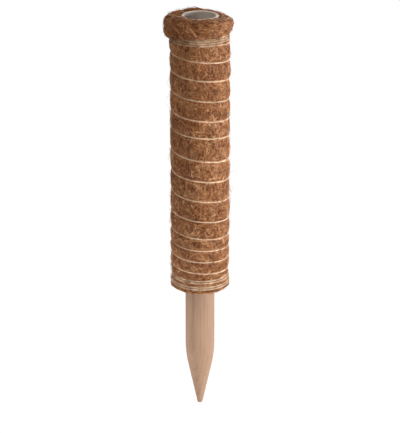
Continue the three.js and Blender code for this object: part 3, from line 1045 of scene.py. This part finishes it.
def ply_tone(tree, given):
    """The twine's tone at each place: soiled in patches, streaky, and darker at both close-wound ends,
    which is painted shade.
    """
    place = point_place(tree)
    soil = cloud(tree, place, SOIL_SCALE, Detail=2.0)
    streak = cloud(tree, place, STREAK_SCALE)
    height = wire(tree, "ShaderNodeSeparateXYZ", {"Vector": place}).outputs["Z"]
    at_ends = calc(
        tree,
        "ADD",
        calc(tree, "LESS_THAN", height, given["Shaded Below"]),
        calc(tree, "GREATER_THAN", height, given["Shaded Above"]),
    )
    tone = calc(tree, "MULTIPLY_ADD", streak, STREAK_TONE_SHARE, TONE_SHIFT)
    tone = calc(tree, "MULTIPLY_ADD", soil, SOIL_SHARE, tone)
    # The close-wound turns under the collar and at the foot are darkened: painted shade.
    tone = calc(tree, "SUBTRACT", tone, calc(tree, "MULTIPLY", at_ends, given["End Shade"]))
    return wire(tree, "ShaderNodeClamp", {"Value": tone}).outputs[0]


def twine_tree():
    """Plies laid round a line as round tubes, with a map of tone across and length up."""
    tree, given = geometry_tree("twine_plies", TWINE_NUMBERS)
    strands = laid_plies(tree, given)
    circle = {"Resolution": PLY_SIDES, "Radius": 1.0}
    ring = wire(tree, "GeometryNodeCurvePrimitiveCircle", circle).outputs[0]
    ring = keep(tree, ring, "ply_side", wire(tree, "GeometryNodeSplineParameter").outputs["Factor"])
    inputs = {"Curve": strands, "Profile Curve": ring, "Scale": kept(tree, "ply_radius")}
    tubes = wire(tree, "GeometryNodeCurveToMesh", inputs | {"Fill Caps": True}).outputs[0]

    across = map_across(tree, ply_tone(tree, given), kept(tree, "ply_side"))
    steps = calc(tree, "DIVIDE", kept(tree, "ply_length"), given["Step"])
    waves = calc(tree, "PINGPONG", steps, MAP_WAVE_STEPS)
    upwards = calc(tree, "MULTIPLY_ADD", waves, MAP_WAVE_RISE, MAP_WAVE_FOOT)
    give_tubes(tree, tubes, across, upwards, "ply_*", given["Material"])
    return tree


def pale_twine():
    """Undyed twine, a little darker here and there where it has picked up coir dust, and darker at its
    close-wound ends with painted shade.
    """
    material, tree, shader = new_material("pale_twine")
    colour = ramp(
        tree,
        map_tone(tree),
        (0.0, srgb(142, 111, 83)),
        (0.35, srgb(206, 176, 146)),
        (0.7, srgb(252, 224, 194)),
        (1.0, srgb(253, 253, 230)),
    )
    set_inputs(tree, shader, {"Base Color": colour, "Roughness": 0.75, "Specular IOR Level": 0.3})
    return material


cream = pale_twine()
closing_top = heights_reached[-len(CLOSING_STRETCHES)]
twine_settings = {
    "Radius": TWINE_RADIUS + TWINE_FUZZ,
    "Lay": PLY_LAY,
    "Step": PLY_STEP,
    "Slub Size": 14 * MM,
    # Below and above these heights the twine is darkened by painted shade.
    "Shaded Below": closing_top + TWINE_RADIUS,
    "Shaded Above": lashing_foot - TWINE_RADIUS,
    "End Shade": 0.2,
    "Material": cream,
}
twine_fuzz = NAP | {
    "Low": NAP_LOW,
    "High": mat_length,
    "Bore": 0.0,
    "Density": 70_000.0,
    "Shortest": 2 * MM,
    "Longest": 5 * MM,
    "Thickness": 0.06 * MM,
    "Loft": 0.1 * MM,
    "Arch": 0.3 * MM,
    "Tip Lift": 1.6 * MM,
    "Swirl": 0.4,
    "Spread": 0.5,
    "Over Twine": 1.0,
    "Steps": 7,
    "Seed": SEED_STEP * len(layers),
    "Material": cream,
}
twine = grown_mesh("twine_laid", twine_line(), twine_tree(), twine_settings)
add_piece("twine_laid", twine, cream, "twine", "twine")
add_piece("twine_fuzz", grown_mesh("twine_fuzz", twine, fibres, twine_fuzz), cream, "twine")

# Studio
# A white floor at the stake's tip, a lamp to the right of the camera and one behind the pole,
# a weaker one at the upper left, a small one by the stake, and the camera, looking down.

FLOOR_HALF = 0.35
FLOOR_GREY = 0.9
FLOOR_GLOW = 1.06
FLOOR_GLOW_SHARE = 0.9
WHITE = (1.0, 1.0, 1.0)
WARM = (1.0, 0.88, 0.74)
WORLD_STRENGTH = 0.078
CAMERA_DISTANCE = 1.263
CAMERA_ELEVATION = math.radians(21.5)
CAMERA_LENS = 145.0


def seen_rays(tree):
    """1 for the rays that show a surface, straight or by way of gloss or glass, else 0."""
    rays = wire(tree, "ShaderNodeLightPath").outputs
    indirect = calc(tree, "MAXIMUM", rays["Is Glossy Ray"], rays["Is Transmission Ray"])
    return calc(tree, "MAXIMUM", rays["Is Camera Ray"], indirect)


def white_floor():
    """White, and mostly a plain white to the camera, so that only a soft shadow is left on it."""
    material, tree, shader = new_material("white_floor")
    grey = (FLOOR_GREY, FLOOR_GREY, FLOOR_GREY, 1)
    set_inputs(tree, shader, {"Base Color": grey, "Roughness": 0.9})
    glow = wire(tree, "ShaderNodeEmission", {"Color": (*WHITE, 1), "Strength": FLOOR_GLOW})
    share = calc(tree, "MULTIPLY", seen_rays(tree), FLOOR_GLOW_SHARE)
    mixed = wire(tree, "ShaderNodeMixShader", {0: share, 1: shader.outputs[0], 2: glow.outputs[0]})
    set_inputs(tree, tree.nodes["Material Output"], {"Surface": mixed.outputs[0]})
    return material


def floor():
    mesh = bpy.data.meshes.new("floor")
    height = stake_low.z
    half = FLOOR_HALF
    corners = [(-half, -half, height), (half, -half, height), (half, half, height), (-half, half, height)]
    mesh.from_pydata(corners, [], [(0, 1, 2, 3)])
    mesh.materials.append(white_floor())
    piece = bpy.data.objects.new("floor", mesh)
    bpy.context.scene.collection.objects.link(piece)


def look_at(thing, place, target):
    thing.location = place
    thing.rotation_euler = (Vector(target) - Vector(place)).to_track_quat("-Z", "Y").to_euler()


def lamp(name, place, target, size, watts, colour=WHITE):
    light = bpy.data.lights.new(name, "AREA")
    light.shape = "DISK"
    light.color = colour
    light.size = size
    light.energy = watts
    holder = bpy.data.objects.new(name, light)
    holder.visible_camera = False
    bpy.context.scene.collection.objects.link(holder)
    look_at(holder, place, target)


def studio_world():
    """A weak warm light from all round, and a plain white to the camera."""
    world = bpy.data.worlds.new("studio")
    world.use_nodes = True
    tree = world.node_tree
    tree.nodes.clear()
    light = wire(tree, "ShaderNodeBackground", {"Color": (*WARM, 1), "Strength": WORLD_STRENGTH})
    white = wire(tree, "ShaderNodeBackground", {"Color": (*WHITE, 1), "Strength": 1.0})
    shaders = {0: seen_rays(tree), 1: light.outputs[0], 2: white.outputs[0]}
    mixed = wire(tree, "ShaderNodeMixShader", shaders)
    wire(tree, "ShaderNodeOutputWorld", {"Surface": mixed.outputs[0]})
    bpy.context.scene.world = world


def camera(middle):
    lens = bpy.data.cameras.new("camera")
    lens.lens = CAMERA_LENS
    holder = bpy.data.objects.new("camera", lens)
    bpy.context.scene.collection.objects.link(holder)
    away = Vector((0, -math.cos(CAMERA_ELEVATION), math.sin(CAMERA_ELEVATION)))
    look_at(holder, middle + CAMERA_DISTANCE * away, middle)
    bpy.context.scene.camera = holder


middle = Vector((0, 0, (stake_low.z + tube_high.z) / 2))
stake_middle = Vector((0, 0, stake_low.z / 2))
floor()
lamp("key", place=(0.97, -0.455, 0.16), target=middle, size=0.4, watts=15.0)
lamp("fill", place=(-0.4, -0.6, 0.95), target=middle, size=0.6, watts=3.9, colour=WARM)
lamp("low_fill", place=(-0.13, -0.072, -0.07), target=stake_middle, size=0.06, watts=0.11)
lamp("back", place=(0.15, 1.0, 0.12), target=middle, size=0.5, watts=13.0)
studio_world()
camera(middle)
bpy.context.scene.view_settings.view_transform = "Standard"
